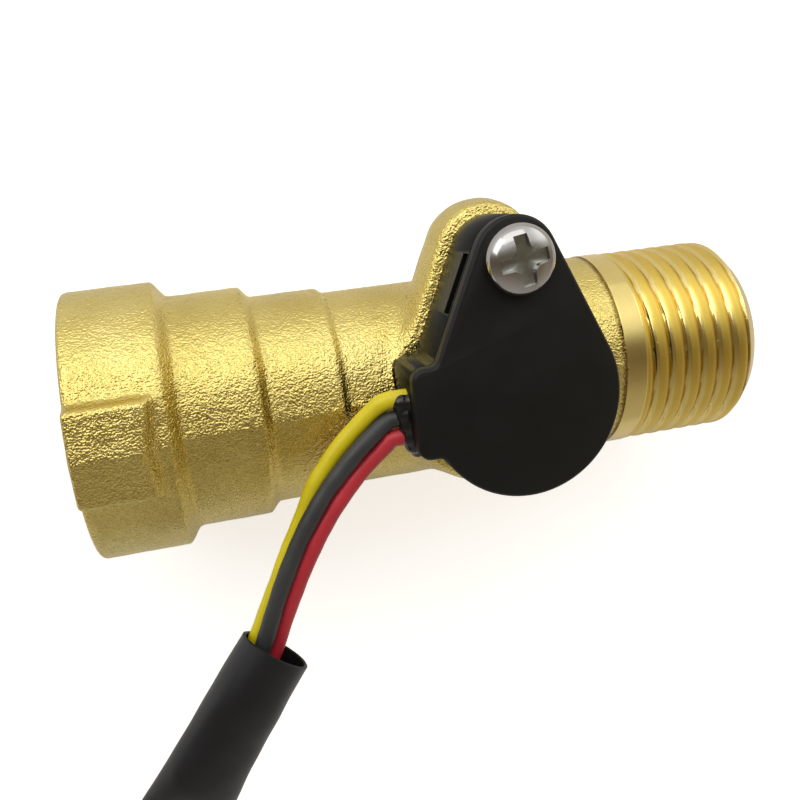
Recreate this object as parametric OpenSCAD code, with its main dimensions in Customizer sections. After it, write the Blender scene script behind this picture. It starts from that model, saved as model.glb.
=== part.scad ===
// Brass water flow sensor: a cast body with a female inlet and a male outlet,
// a turbine cartridge inside it, and a Hall sensor case held by one screw.
// The pipe axis is X, from inlet face (x = 0) to outlet. The sensor case looks up, along Z.

/* [Pipe ends] */
// Outer diameter of the male outlet thread
outlet_thread_d = 20.955; // [18:0.005:26]
// Pitch of both threads
thread_pitch = 1.814; // [1.2:0.002:2.2]
// Depth of the outlet thread's grooves
thread_depth = 0.45; // [0.2:0.05:0.8]
// Minor diameter of the female inlet thread
inlet_thread_d = 18.631; // [17:0.001:20]
// Depth of the female inlet thread
inlet_depth = 13; // [10:0.5:14]
// Overall length of the body
body_len = 69.4; // [68:0.2:76]

/* [Cast body] */
// Outer diameter of the inlet socket
socket_d = 26.7; // [25.5:0.1:32]
// Outer diameter of the second step
step2_d = 23.5; // [22.8:0.1:25]
// Outer diameter of the third step
step3_d = 21.3; // [20.8:0.1:22.5]
// Outer diameter of the barrel under the sensor
barrel_d = 20.25; // [19.5:0.05:20.6]
// End of the inlet socket
socket_end = 9.2; // [8:0.2:10]
// End of the second step
step2_end = 17.4; // [16:0.2:18.5]
// End of the third step
step3_end = 25.1; // [24:0.2:26.5]
// Start of the machined outlet end
machined_start = 53.75; // [53.2:0.05:55]
// Width of the plain machined ring
ring_w = 2.3; // [1.5:0.1:3]
// Width of the two wrench pads on the socket
pad_w = 9.4; // [7:0.2:11]
// Height of a pad's ridge above the axis
pad_top = 15; // [14.2:0.1:16]
// Length of the flat of a wrench pad
pad_len = 7.1; // [5:0.1:8]
// Draft angle of the casting
draft = 10; // [6:1:12]

/* [Bores] */
// Diameter of the bore that takes the flow guide
guide_bore_d = 15.5; // [15.2:0.1:16]
// Diameter of the rotor chamber
rotor_bore_d = 14.8; // [14.2:0.1:15]
// Diameter of the outlet bore
outlet_bore_d = 13.6; // [12:0.1:13.8]
// Where the outlet bore starts
outlet_bore_x = 54; // [53.5:0.1:55]

/* [Sensor seat] */
// Distance from the inlet face to the centre of the sensor
head_x = 40.4; // [39.6:0.1:41]
// Height of the flat seat above the axis
seat_z = 9.5; // [9.3:0.1:9.8]
// Distance from the pipe axis to the screw
screw_y = 12.7; // [12.2:0.1:14]
// Thickness of the screw ear
ear_t = 5.7; // [5:0.1:7]
// Radius of the seat's large end
seat_r = 10.6; // [10.2:0.1:11.4]
// Radius of the seat's ear
ear_r = 5.4; // [5:0.1:6]

/* [Sensor case] */
// Radius of the case's large end
case_r = 9.2; // [9:0.1:9.6]
// Radius of the case's screw end
case_ear_r = 3.9; // [3.7:0.1:4.3]
// Height of the case with its cover
case_h = 7.9; // [7.6:0.1:9]
// Wall of the case
case_wall = 1.4; // [1:0.1:1.8]
// Thickness of the cover
cover_t = 1.4; // [1:0.1:1.6]
// Width of the cable lobe
lobe_w = 8.4; // [8:0.2:9.4]
// How far the lobe stands out of the large end
lobe_out = 1.3; // [1:0.1:2]
// Diameter of the screw's shank
screw_d = 3.5; // [3:0.1:4]
// Diameter of the screw's head
screw_head_d = 6.4; // [5.8:0.1:7.2]

/* [Turbine] */
// Diameter of the rotor shaft
shaft_d = 2; // [1.6:0.1:2.4]
// Diameter over the rotor blades
rotor_d = 13.8; // [12.6:0.1:13.9]
// Diameter of the magnet ring
magnet_d = 10.8; // [9.4:0.1:11.6]
// Length of the magnet ring
magnet_len = 7; // [5:0.2:8]
// Number of rotor blades
blade_count = 6; // [4:1:8]
// Number of swirl vanes in the flow guide
vane_count = 4; // [3:1:6]

/* [Cable] */
// Outer diameter of one wire
wire_d = 1.6; // [1.3:0.1:1.7]
// Width of the flattened sleeve
sleeve_w = 8.9; // [8.5:0.1:9.9]
// Height of the flattened sleeve
sleeve_h = 3.4; // [3:0.1:4.2]
// Diameter of the sleeve's open mouth
mouth_d = 7; // [7:0.1:7.8]

/* [Hidden] */
$fn = 64;

eps = 0.01;
brass = [0.80, 0.66, 0.32];
plastic_black = [0.11, 0.11, 0.10];
steel = [0.75, 0.75, 0.73];
nylon = [0.90, 0.90, 0.86];
yellow = [0.86, 0.80, 0.08];
dark = [0.20, 0.21, 0.21];
red = [0.70, 0.12, 0.18];

// Radii that follow from the diameters
thread_r = outlet_thread_d / 2;
socket_r = socket_d / 2;
step2_r = step2_d / 2;
step3_r = step3_d / 2;
barrel_r = barrel_d / 2;
guide_bore_r = guide_bore_d / 2;
rotor_bore_r = rotor_bore_d / 2;
outlet_bore_r = outlet_bore_d / 2;
inlet_r = inlet_thread_d / 2;
shaft_r = shaft_d / 2;
wire_r = wire_d / 2;

// Heights in the sensor case
case_floor = 1;
hall_lead_x = 1.5;
hall_lead_pitch = 1.27;
case_top = seat_z + case_h;
cover_z = case_top - cover_t;
board_t = 1;
hall_t = 1.5;
spare_h = cover_z - seat_z - case_floor - hall_t - board_t - wire_d;
board_z = seat_z + case_floor + hall_t + spare_h * 0.3;
board_top = board_z + board_t;
lobe_x = head_x - case_r - lobe_out;
wire_z = board_top + wire_r;
wire_pitch = 1.8;
wire_mid_y = -0.6;
wire_step_y = [wire_pitch, 0, -wire_pitch];
sealant_t = 1.3;
sealant_below = 1.5;
sealant_fill = 0.7;
sealant_top = wire_z + wire_r + sealant_fill * (cover_z - wire_z - wire_r);
sealant_w = 5.8;
seat_clear = 0.15;
screw_clear = 0.2;
screw_post_r = case_ear_r + 1.3;

// Stations along the turbine cartridge
relief_w = 1;
relief_r = thread_r + 0.1;
clip_w = 1;
clip_x = inlet_depth + 1;
clip_groove_r = guide_bore_r + 0.65;
guide_x = clip_x + clip_w;
guide_end = 27;
guide_hub_r = 2.8;
bush_flange_t = 0.5;
bush_flange_r = shaft_r + 1.2;
bush_r = shaft_r + 0.6;
bush_len = 4;
run_gap = 0.03;
rotor_before = 9;
rotor_after = 7.3;
rotor_x = head_x - rotor_before;
rotor_end = head_x + rotor_after;
hub_gap = 1;
guide_hub_end = rotor_x - hub_gap;
hub_r = bush_r + 1.6;
blade_gap = 1;
magnet_before = 1.9;
magnet_x = head_x - magnet_before;
blade_end = magnet_x - blade_gap;
washer_t = 0.5;
washer_x = rotor_end + bush_flange_t + 0.2;
rear_hub_x = washer_x + washer_t;
rear_ring_len = 4;
rear_ring_x = outlet_bore_x - rear_ring_len;
shaft_x = 22;
shaft_end = outlet_bore_x - 1;

// Cable routes. The wires leave the case at the lobe and go into the sleeve's mouth.
// The sleeve comes down to the resting surface in a long curve.
rest_z = -15;
sleeve_z = rest_z + sleeve_h / 2;
conn_h = 5.4;
conn_z = rest_z + conn_h / 2;
sleeve_wall = 0.3;
pocket_rings = 2;
stripped_end = 5.4;
inner_x = head_x - stripped_end;
yellow_y = wire_mid_y + wire_pitch;
black_y = wire_mid_y;
red_y = wire_mid_y - wire_pitch;
yellow_route = [[inner_x, yellow_y, wire_z], [31.5, yellow_y, wire_z], [28.4, yellow_y, wire_z],
                [27.4, 0.9, 14], [26.5, 0.2, 13.7], [25.4, -0.8, 13.4], [24.2, -1.9, 13.2],
                [22.9, -3.2, 13.1], [21.9, -4.4, 13], [21.1, -5.4, 12.9], [20.4, -6.5, 12.8],
                [19.8, -7.8, 12.7], [18.9, -9.5, 12.6], [17.1, -12.9, 12.4], [16, -15.1, 12.4],
                [14.9, -17.3, 12.3], [13.7, -19.6, 12.3], [12.8, -21.2, 12.3], [10.9, -24, 12.3]];
black_route = [[inner_x, black_y, wire_z], [31.5, black_y, wire_z], [28.4, black_y, wire_z],
               [27.4, -1, 14.3], [26.3, -1.8, 14.4], [25.3, -2.6, 14.4], [24.4, -3.4, 14.4],
               [23.4, -4.4, 14.3], [22.5, -5.3, 14.3], [21.7, -6.2, 14.2], [20.8, -7.3, 14.2],
               [19.6, -9, 14.2], [18.4, -10.9, 14.1], [17.2, -13.1, 14.1], [16.1, -15.3, 14],
               [15.1, -17.5, 14], [14.1, -19.8, 13.9], [13.4, -21.2, 13.9], [11.5, -24, 13.9]];
red_route = [[inner_x, red_y, wire_z], [31.5, red_y, wire_z], [28.4, red_y, wire_z],
             [27.7, -2.9, 14.1], [26.8, -3.7, 14], [26, -4.4, 13.9], [25.1, -5.2, 13.9],
             [24.2, -6.1, 13.9], [23.4, -7, 13.9], [22.4, -8.2, 13.9], [21.4, -9.5, 13.9],
             [20.4, -10.9, 13.9], [19.5, -12.4, 13.8], [18.5, -14.1, 13.7], [17.6, -15.8, 13.5],
             [16.7, -17.6, 13.3], [15.9, -19.3, 13.1], [14.8, -21.6, 12.9], [13, -24.4, 12.8]];
sleeve_drop = [[14.9, -21.3, 13.3], [12.8, -24, 13.3], [11.5, -25.8, 13.3], [10.2, -27.6, 13.2],
               [8.9, -29.5, 13.1], [7.5, -31.5, 12.9], [6.2, -33.6, 12.5], [4.8, -35.9, 11.9],
               [2.1, -40.4, 10.2], [-0.7, -44.9, 7.7], [-3.4, -49.3, 4.7], [-6.1, -53.8, 1.3],
               [-8.9, -58.3, -2.1], [-11.6, -62.8, -5.4], [-14.3, -67.2, -8.3]];
flat_from = 8;
loop_r = 33;
loop_centre = [11.1, -88.9];
loop_start = 148.7;
loop_turn = 200;
loop_steps = 15;
loop_high = 2.5;
settled_from = 3;
loop_end = loop_start + loop_turn;
function fall_left(i) = max(0, 1 - i / settled_from);
function loop_z(i) = let (lift = fall_left(loop_steps - i))
    sleeve_z + loop_high * fall_left(i) * fall_left(i) + (conn_z - sleeve_z) * lift * lift * (3 - 2 * lift);
loop_route = [for (i = [0 : loop_steps]) let (a = loop_start + loop_turn * i / loop_steps)
    [loop_centre.x + loop_r * cos(a), loop_centre.y + loop_r * sin(a), loop_z(i)]];
sleeve_route = concat(sleeve_drop, loop_route);

// Connector on the end of the cable
lead_len = 10;
lead_gap = 0.6;
conn_len = 12;
conn_w = 9.8;
pin_pitch = 2.5;
pin_hole = 1.7;
contact_w = 1.4;
pin_lip = 2;

// Rings round a route: half-width a, half-height b, n sides
function unit(v) = v / norm(v);
function tangent(p, i) = unit(p[min(i + 1, len(p) - 1)] - p[max(i - 1, 0)]);
function side_of(t) = unit(cross([0, 0, 1], t));
function ring_at(p, i, a, b, n) =
    let (t = tangent(p, i), s = side_of(t), u = cross(t, s))
    [for (k = [0 : n - 1]) p[i] + a * cos(360 * (k + 0.5) / n) * s + b * sin(360 * (k + 0.5) / n) * u];

// A closed solid through rings of points
module skin(rings) {
    m = len(rings);
    n = len(rings[0]);
    sides = [for (i = [0 : m - 2]) for (k = [0 : n - 1])
        [i * n + k, (i + 1) * n + k, (i + 1) * n + (k + 1) % n, i * n + (k + 1) % n]];
    first = [[for (k = [0 : n - 1]) k]];
    last = [[for (k = [n - 1 : -1 : 0]) (m - 1) * n + k]];
    polyhedron([for (ring = rings) each ring], concat(sides, first, last), convexity = 8);
}

module sweep(route, a, b, n) {
    skin([for (i = [0 : len(route) - 1]) ring_at(route, i, a, b, n)]);
}

// A solid turned about the pipe axis, from a list of [x, radius]
module turned(profile) {
    rotate([0, 90, 0]) rotate_extrude() polygon([for (p = profile) [p[1], p[0]]]);
}

module tube_x(x, len, ro, ri) {
    translate([x, 0, 0]) rotate([0, 90, 0]) difference() {
        cylinder(h = len, r = ro);
        translate([0, 0, -1]) cylinder(h = len + 2, r = ri);
    }
}

module rod_x(x, len, r) {
    translate([x, 0, 0]) rotate([0, 90, 0]) cylinder(h = len, r = r);
}

// Teardrop outline round the pipe axis and the screw: two arcs joined by their tangents
function arc(y, r, a0, a1, steps) =
    [for (i = [0 : steps]) let (a = a0 + (a1 - a0) * i / steps) [r * cos(a), y + r * sin(a)]];

module drop2d(rb, re) {
    lean = asin((rb - re) / screw_y);
    polygon(concat(arc(0, rb, 180 - lean, 360 + lean, 48), arc(screw_y, re, lean, 180 - lean, 16)));
}

// Outline of the case: the teardrop and the rounded cable lobe on its inlet side
module case2d(inset) {
    corner = 1.2;
    reach = case_r + lobe_out - inset;
    half = lobe_w / 2 - inset;
    drop2d(case_r - inset, case_ear_r - inset);
    translate([-reach, -half + corner]) square([reach, 2 * (half - corner)]);
    translate([-reach + corner, -half]) square([reach - corner, 2 * half]);
    for (side = [-1, 1])
        translate([-reach + corner, side * (half - corner)]) circle(r = corner);
}

module at_head(z) {
    translate([head_x, 0, z]) children();
}

// The casting
module body_outer() {
    fall = (socket_r - step2_r) / 2;
    fall2 = (step2_r - step3_r) / 2;
    fall3 = (step3_r - barrel_r) / 2;
    turned([[0, 0], [0, socket_r - 0.5], [0.5, socket_r],
            [socket_end - 0.9, socket_r], [socket_end - 0.2, socket_r - 0.35], [socket_end, socket_r - fall],
            [socket_end + 0.3, step2_r + 0.25], [socket_end + 1, step2_r],
            [step2_end - 0.8, step2_r], [step2_end - 0.2, step2_r - 0.25], [step2_end, step2_r - fall2],
            [step2_end + 0.3, step3_r + 0.15], [step2_end + 0.9, step3_r],
            [step3_end - 0.5, step3_r], [step3_end, step3_r - fall3], [step3_end + 0.6, barrel_r],
            [head_x + 6, barrel_r], [machined_start, barrel_r + 0.2], [machined_start, 0]]);
}

module outlet_end() {
    groove_w = 0.7;
    first = machined_start + ring_w + 0.95;
    count = floor((body_len - 1.6 - first) / thread_pitch) + 1;
    chamfer = 1.5;
    difference() {
        turned([[machined_start - eps, 0], [machined_start - eps, thread_r],
                [body_len - chamfer, thread_r], [body_len, thread_r - chamfer], [body_len, 0]]);
        for (i = [0 : count - 1])
            translate([first + i * thread_pitch, 0, 0])
                turned([[-groove_w / 2, thread_r + eps], [0, thread_r - thread_depth],
                        [groove_w / 2, thread_r + eps]]);
    }
}

// Low ridge of a parting line, made by the draft of the two mould halves
module parting_ridge(x, len, r) {
    foot = r * sin(draft);
    foot_z = r * cos(draft) - 0.12;
    for (turn = [0, 180])
        rotate([turn, 0, 0]) translate([x, 0, 0]) rotate([90, 0, 90])
            linear_extrude(len)
                polygon([[-foot, foot_z], [-foot, foot_z - 1], [foot, foot_z - 1], [foot, foot_z],
                         [0, r / cos(draft)]]);
}

module wrench_pad() {
    edge_z = pad_top - tan(draft) * pad_w / 2;
    lean = 0.3;
    run_out = 1.3;
    intersection() {
        rotate([90, 0, 90]) linear_extrude(socket_end)
            polygon([[-pad_w / 2, socket_r / 2], [-pad_w / 2 + lean, edge_z], [0, pad_top],
                     [pad_w / 2 - lean, edge_z], [pad_w / 2, socket_r / 2]]);
        translate([0, pad_w, 0]) rotate([90, 0, 0]) linear_extrude(2 * pad_w)
            polygon([[0, 0], [0, pad_top - 0.3], [0.3, pad_top], [pad_len, pad_top],
                     [pad_len + run_out, socket_r - 1], [pad_len + run_out, 0]]);
    }
}

// Seat and screw ear, with a bevelled rim
module seat() {
    bevel = 0.8;
    above = 0.2;
    hull() {
        at_head(seat_z - ear_t) cylinder(h = ear_t - bevel, r = seat_r, $fn = 48);
        at_head(seat_z - ear_t) cylinder(h = ear_t + above, r = seat_r - bevel / 2, $fn = 48);
        translate([0, screw_y, 0]) {
            at_head(seat_z - ear_t + bevel) cylinder(h = ear_t - 2 * bevel, r = ear_r, $fn = 32);
            at_head(seat_z - ear_t) cylinder(h = ear_t + above, r = ear_r - bevel, $fn = 32);
        }
    }
}

module body_bores() {
    rod_x(-1, inlet_depth + 1, inlet_r);
    rod_x(inlet_depth - relief_w, relief_w, relief_r);
    rod_x(inlet_depth - eps, guide_end - inlet_depth + eps, guide_bore_r);
    rod_x(guide_end - eps, outlet_bore_x - guide_end + eps, rotor_bore_r);
    rod_x(outlet_bore_x - eps, body_len - outlet_bore_x + 1, outlet_bore_r);
    rod_x(clip_x, clip_w, clip_groove_r);
    translate([0, screw_y, 0]) at_head(seat_z - ear_t + 0.9) cylinder(h = ear_t, r = screw_d / 2);
    at_head(seat_z) linear_extrude(ear_t) {
        drop2d(seat_r, ear_r);
        case2d(-seat_clear);
    }
}

module valve_body() {
    color(brass) difference() {
        union() {
            body_outer();
            outlet_end();
            parting_ridge(0.5, socket_end - 1.4, socket_r);
            parting_ridge(socket_end, step2_end - 0.8 - socket_end, step2_r);
            parting_ridge(step2_end, step3_end - 0.5 - step2_end, step3_r);
            parting_ridge(step3_end, machined_start - step3_end - 0.2, barrel_r);
            wrench_pad();
            rotate([180, 0, 0]) wrench_pad();
            seat();
        }
        body_bores();
    }
}

// The sensor case: floor, wall, solid screw end, snap windows and the wire exit
module case_flank_window(side) {
    flank = asin((case_r - case_ear_r) / screw_y);
    slot_len = 5.6;
    slot_h = 1.5;
    slot_deep = 1;
    at_head(cover_z - slot_h - 0.25) mirror([side > 0 ? 1 : 0, 0, 0])
        rotate([0, 0, -flank]) translate([-case_r - 1, 5.1, 0])
            cube([1 + slot_deep, slot_len, slot_h]);
}

module case_cavity() {
    difference() {
        case2d(case_wall);
        translate([0, screw_y]) circle(r = screw_post_r);
    }
}

module sensor_case() {
    color(plastic_black) difference() {
        at_head(seat_z) linear_extrude(case_h - cover_t) case2d(0);
        at_head(seat_z + case_floor) linear_extrude(case_h) case_cavity();
        translate([0, screw_y, 0]) at_head(seat_z - 1)
            cylinder(h = case_h + 2, r = screw_d / 2 + screw_clear);
        for (y = wire_step_y)
            rod_x_at(lobe_x - 1, inner_x - lobe_x + 1, wire_r, wire_mid_y + y, wire_z);
        for (side = [-1, 1]) case_flank_window(side);
    }
}

module rod_x_at(x, len, r, y, z) {
    translate([0, y, z]) rod_x(x, len, r);
}

module case_cover() {
    lip_t = 0.8;
    lip_gap = 0.1;
    lip_wall = 0.9;
    bevel = 0.3;
    color(plastic_black) difference() {
        union() {
            at_head(cover_z) linear_extrude(cover_t - bevel) case2d(0);
            at_head(case_top - bevel) linear_extrude(bevel) case2d(bevel / 2);
            at_head(cover_z - lip_t) linear_extrude(lip_t + eps) difference() {
                intersection() {
                    case2d(case_wall + lip_gap);
                    translate([0, -case_r]) square([3 * case_r, 2 * case_r + 1], center = true);
                }
                drop2d(case_r - case_wall - lip_gap - lip_wall, case_ear_r - case_wall);
                translate([-2 * case_r, -lobe_w / 2]) square([2 * case_r, lobe_w]);
                translate([0, screw_y]) circle(r = screw_post_r + lip_gap);
            }
        }
        translate([0, screw_y, 0]) at_head(cover_z - 2)
            cylinder(h = cover_t + 4, r = screw_d / 2 + screw_clear);
    }
}

// The electronics
module hall_board() {
    board_r = case_r - case_wall - 0.3;
    board_w = 10;
    hole_d = 0.6;
    color([0.10, 0.35, 0.16]) difference() {
        at_head(board_z) linear_extrude(board_t) intersection() {
            circle(r = board_r);
            translate([-board_r, -board_w / 2]) square([2 * board_r, board_w]);
        }
        for (k = [-1, 0, 1]) translate([hall_lead_x, k * hall_lead_pitch, 0]) at_head(board_z - 1)
            cylinder(h = board_t + 2, r = hole_d / 2);
    }
}

module hall_element() {
    body_w = 4;
    body_l = 3;
    lead_w = 0.4;
    color(dark) {
        at_head(seat_z + case_floor) translate([-body_l / 2, -body_w / 2, 0]) cube([body_l, body_w, hall_t]);
        for (k = [-1, 0, 1]) at_head(seat_z + case_floor + hall_t - eps)
            translate([body_l / 2 - lead_w, k * hall_lead_pitch - lead_w / 2, 0])
                cube([lead_w, lead_w, board_z - seat_z - case_floor - hall_t + eps]);
    }
}

module board_parts() {
    color([0.62, 0.55, 0.45]) {
        for (y = [-3, 0, 3]) at_head(board_top) translate([1.6, y - 0.6, 0]) cube([2, 1.2, 0.6]);
        for (y = wire_step_y) translate([0, wire_mid_y + y, 0]) at_head(board_top)
            translate([-4.6, 0, 0]) cylinder(h = 1, r1 = 0.8, r2 = 0.4);
    }
}

module potting() {
    level = board_z - seat_z - case_floor;
    color([0.16, 0.15, 0.13]) difference() {
        at_head(seat_z + case_floor) linear_extrude(level) case_cavity();
        at_head(seat_z + case_floor - 1) translate([-1.6, -2.1, 0]) cube([3.2, 4.2, level + 2]);
    }
}

module fixing_screw() {
    head_h = 2.3;
    dome_r = 4.2;
    tip = 1.1;
    recess_turn = 9;
    edge_h = 0.9;
    color(steel) translate([0, screw_y, 0]) at_head(0) difference() {
        union() {
            translate([0, 0, seat_z - ear_t + tip]) cylinder(h = case_h + ear_t - tip, r = screw_d / 2);
            translate([0, 0, case_top]) intersection() {
                cylinder(h = head_h, r = screw_head_d / 2);
                translate([0, 0, head_h - dome_r]) sphere(r = dome_r);
            }
        }
        for (a = [0, 90]) translate([0, 0, case_top + edge_h]) rotate([0, 0, a + recess_turn])
            translate([-1.75, -0.45, 0]) cube([3.5, 0.9, head_h]);
    }
}

// Cured sealant that closes the wire exit, in three touching lumps
module wire_sealant() {
    color([0.07, 0.07, 0.07]) difference() {
        translate([lobe_x - sealant_t, wire_mid_y - sealant_w / 2, wire_z - sealant_below])
            cube([sealant_t, sealant_w, sealant_top - wire_z + sealant_below]);
        for (y = wire_step_y)
            rod_x_at(lobe_x - sealant_t - 1, sealant_t + 2, wire_r, wire_mid_y + y, wire_z);
    }
}

// The turbine cartridge
module retaining_ring() {
    gap = 5;
    color(steel) difference() {
        tube_x(clip_x, clip_w, clip_groove_r - 0.05, guide_bore_r - 1);
        translate([clip_x - 1, -gap / 2, -guide_bore_r - 3]) cube([clip_w + 2, gap, guide_bore_r]);
    }
}

// One flat blade from inside the hub (radius base) to radius r, turned by slant about its own radius
module slanted_blade(x, len, base, r, t, slant) {
    intersection() {
        rod_x(x, len, r);
        translate([x + len / 2, 0, base]) rotate([0, 0, slant])
            translate([-len * 0.8, -t / 2, 0]) cube([len * 1.6, t, r]);
    }
}

module flow_guide() {
    sleeve_r = guide_bore_r - 0.05;
    sleeve_wall = 0.8;
    vane_t = 1;
    vane_len = 8;
    vane_slant = 24;
    color(nylon) difference() {
        union() {
            tube_x(guide_x, guide_end - guide_x, sleeve_r, sleeve_r - sleeve_wall);
            turned([[guide_x + 1, 0], [guide_x + 1.4, 1.4], [guide_x + 3.5, guide_hub_r],
                    [guide_hub_end, guide_hub_r], [guide_hub_end, 0]]);
            for (i = [0 : vane_count - 1]) rotate([i * 360 / vane_count, 0, 0])
                slanted_blade(guide_end - vane_len - 0.5, vane_len, guide_hub_r / 2,
                              sleeve_r - sleeve_wall / 2, vane_t, vane_slant);
        }
        rod_x(shaft_x, guide_hub_end, shaft_r);
    }
}

module rotor_shaft() {
    color(steel) rod_x(shaft_x, shaft_end - shaft_x, shaft_r);
}

module rotor() {
    blade_t = 1;
    blade_slant = -32;
    flange_t = 1;
    collar_t = 0.8;
    color([0.93, 0.93, 0.90]) difference() {
        union() {
            rod_x(rotor_x, rotor_end - rotor_x, hub_r);
            rod_x(magnet_x - flange_t, flange_t, magnet_d / 2);
            rod_x(magnet_x + magnet_len, collar_t, hub_r + 0.7);
            for (i = [0 : blade_count - 1]) rotate([i * 360 / blade_count, 0, 0])
                slanted_blade(rotor_x + 0.4, blade_end - rotor_x, (bush_r + hub_r) / 2 - 0.4,
                              rotor_d / 2, blade_t, blade_slant);
        }
        rod_x(rotor_x - 1, rotor_end - rotor_x + 2, bush_r);
    }
}

module magnet_ring() {
    color([0.22, 0.22, 0.23]) tube_x(magnet_x, magnet_len, magnet_d / 2, hub_r);
}

module bush() {
    color([0.85, 0.80, 0.68]) difference() {
        union() {
            rod_x(-bush_flange_t, bush_flange_t, bush_flange_r);
            rod_x(-eps, bush_len + eps, bush_r);
        }
        rod_x(-1, bush_len + 2, shaft_r + run_gap);
    }
}

module front_bush() {
    translate([rotor_x, 0, 0]) bush();
}

module rear_bush() {
    translate([rotor_end, 0, 0]) mirror([1, 0, 0]) bush();
}

module thrust_washer() {
    color([0.95, 0.94, 0.90]) tube_x(washer_x, washer_t, bush_flange_r, shaft_r + run_gap);
}

module rear_support() {
    ring_wall = 0.8;
    leg_t = 1.2;
    legs = 3;
    leg_out = rotor_bore_r - ring_wall / 2;
    color(nylon) difference() {
        union() {
            tube_x(rear_ring_x, outlet_bore_x - rear_ring_x, rotor_bore_r - 0.05, rotor_bore_r - ring_wall);
            turned([[rear_hub_x, 0], [rear_hub_x, guide_hub_r], [outlet_bore_x - 1.5, guide_hub_r],
                    [outlet_bore_x - 0.1, 1.6], [outlet_bore_x - 0.1, 0]]);
            for (i = [0 : legs - 1]) rotate([i * 360 / legs, 0, 0])
                translate([rear_ring_x + 0.5, -leg_t / 2, guide_hub_r - 0.5])
                    cube([outlet_bore_x - rear_ring_x - 1, leg_t, leg_out - guide_hub_r + 0.5]);
        }
        rod_x(rear_hub_x - 1, shaft_end - rear_hub_x + 1, shaft_r);
    }
}

// The cable
module wire_yellow() {
    color(yellow) sweep(yellow_route, wire_r, wire_r, 8);
}

module wire_black() {
    color(dark) sweep(black_route, wire_r, wire_r, 8);
}

module wire_red() {
    color(red) sweep(red_route, wire_r, wire_r, 8);
}

// The sleeve has a round open mouth and grows flat behind it
function flatness(i) = min(1, i / flat_from);
function sleeve_ring(i, inset) =
    let (a = mouth_d / 2 + (sleeve_w - mouth_d) / 2 * flatness(i),
         b = mouth_d / 2 + (sleeve_h - mouth_d) / 2 * flatness(i))
    ring_at(sleeve_route, i, a - inset, b - inset, 10);

module cable_sleeve() {
    mouth_rings = [for (i = [pocket_rings : -1 : 0]) sleeve_ring(i, sleeve_wall)];
    outer_rings = [for (i = [0 : len(sleeve_route) - 1]) sleeve_ring(i, 0)];
    color([0.10, 0.10, 0.11]) skin(concat(mouth_rings, outer_rings));
}

// Frame at the end of the sleeve: X points along the cable, away from the sleeve
module at_cable_end() {
    translate([loop_centre.x, loop_centre.y, conn_z]) rotate([0, 0, loop_end]) translate([loop_r, 0, 0])
        rotate([0, 0, 90]) children();
}

module connector_leads() {
    color(dark) at_cable_end() for (k = [-1, 0, 1])
        translate([0, k * pin_pitch, 0]) rod_x(lead_gap, lead_len - lead_gap, wire_r);
}

module connector_housing() {
    key_w = 1.2;
    key_h = 0.8;
    color(nylon) at_cable_end() translate([lead_len, 0, 0]) difference() {
        union() {
            translate([0, -conn_w / 2, -conn_h / 2]) cube([conn_len, conn_w, conn_h]);
            for (y = [-pin_pitch, pin_pitch])
                translate([2, y - key_w / 2, conn_h / 2 - eps]) cube([conn_len - 4, key_w, key_h]);
        }
        for (k = [-1, 0, 1]) translate([pin_lip, k * pin_pitch - pin_hole / 2, -pin_hole / 2])
            cube([conn_len, pin_hole, pin_hole]);
    }
}

module connector_contacts() {
    contact_len = conn_len - pin_lip - 1;
    color([0.83, 0.80, 0.70]) at_cable_end() for (k = [-1, 0, 1])
        translate([lead_len + pin_lip, k * pin_pitch - contact_w / 2, -contact_w / 2]) difference() {
            cube([contact_len, contact_w, contact_w]);
            translate([1, 0.25, 0.25]) cube([contact_len, contact_w - 0.5, contact_w - 0.5]);
        }
}

valve_body();
sensor_case();
case_cover();
hall_board();
hall_element();
board_parts();
potting();
fixing_screw();
wire_sealant();
retaining_ring();
flow_guide();
rotor_shaft();
rotor();
magnet_ring();
front_bush();
rear_bush();
thrust_washer();
rear_support();
wire_yellow();
wire_black();
wire_red();
cable_sleeve();
connector_leads();
connector_housing();
connector_contacts();
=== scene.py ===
"""Looks of a brass water flow sensor with a Hall sensor case and a three-wire cable.

The pipe axis is X, from the inlet face to the outlet thread. Sizes are in millimetres
and become metres where a mesh is made.
"""
import math

import bmesh
import bpy
import numpy as np
from mathutils import Matrix, Vector, noise

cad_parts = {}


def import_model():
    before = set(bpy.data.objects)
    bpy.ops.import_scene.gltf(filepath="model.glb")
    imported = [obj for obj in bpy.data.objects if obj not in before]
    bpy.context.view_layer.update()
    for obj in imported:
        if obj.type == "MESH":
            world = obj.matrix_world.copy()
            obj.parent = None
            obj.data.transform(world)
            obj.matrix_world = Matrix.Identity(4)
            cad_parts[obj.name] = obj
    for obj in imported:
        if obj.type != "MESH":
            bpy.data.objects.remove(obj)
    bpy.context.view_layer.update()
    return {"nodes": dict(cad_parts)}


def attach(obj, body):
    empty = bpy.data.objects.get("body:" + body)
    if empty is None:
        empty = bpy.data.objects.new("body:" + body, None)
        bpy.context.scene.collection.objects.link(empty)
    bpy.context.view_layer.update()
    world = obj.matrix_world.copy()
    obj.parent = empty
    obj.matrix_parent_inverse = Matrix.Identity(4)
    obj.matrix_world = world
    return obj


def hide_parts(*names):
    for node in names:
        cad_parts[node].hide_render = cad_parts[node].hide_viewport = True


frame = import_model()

nodes = frame["nodes"]
MM = 0.001

# Camera
FOCAL_PX = 898.94
IMAGE_PX = 800
SENSOR_W = 36
CAMERA_AT = (12.5825, 20.0114, 92.2550)
CAMERA_TURN = (-11.9963, -13.4258, -6.1239)

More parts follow.
